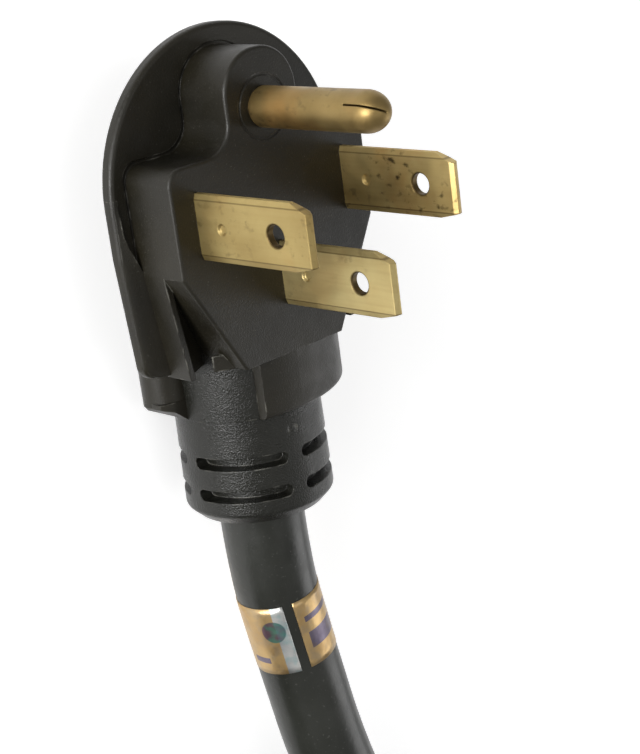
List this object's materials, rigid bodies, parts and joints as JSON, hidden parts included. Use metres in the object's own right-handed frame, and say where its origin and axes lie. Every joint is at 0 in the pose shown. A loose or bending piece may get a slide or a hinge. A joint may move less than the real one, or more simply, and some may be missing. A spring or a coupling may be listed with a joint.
{
  "type": "appliance power cord",
  "caption": "Right-angle moulded plug with flat blades and a round ground pin, on a thick round cord that ends in coloured conductors with ring terminals.",
  "frame": {"origin": "on the plug's flat back, in line with the neutral blade across the plug and with the two line blades along it", "axes": "+Z along the blades, +Y from the cord towards the ground pin, +X to the right seen from the blade side with the ground pin up"},
  "size_m": [0.2918, 0.4296, 0.063],
  "materials": {
    "moulding": "satin",
    "moulding_grain": "grained satin",
    "carrier": "matt",
    "brass": "satin, tarnished",
    "jacket": "satin",
    "wire_black": "satin",
    "wire_red": "satin",
    "wire_white": "satin",
    "wire_green": "satin",
    "copper": "bright copper strands",
    "terminal": "tinned"
  },
  "bodies": {
    "root": {"plug_body": "moulding", "strain_relief": "moulding_grain", "contact_carrier": "carrier", "hot_blade_left": "brass", "hot_blade_right": "brass", "neutral_blade": "brass", "ground_pin": "brass", "cord_lead": "jacket", "cord_coil": "jacket", "cord_tail": "jacket", "plug_wire_black": "wire_black", "plug_copper_black": "copper", "free_wire_black": "wire_black", "free_copper_black": "copper", "terminal_black": "terminal", "plug_wire_red": "wire_red", "plug_copper_red": "copper", "free_wire_red": "wire_red", "free_copper_red": "copper", "terminal_red": "terminal", "plug_wire_white": "wire_white", "plug_copper_white": "copper", "free_wire_white": "wire_white", "free_copper_white": "copper", "terminal_white": "terminal", "plug_wire_green": "wire_green", "plug_copper_green": "copper", "free_wire_green": "wire_green", "free_copper_green": "copper", "terminal_green": "terminal"}
  },
  "joints": []
}
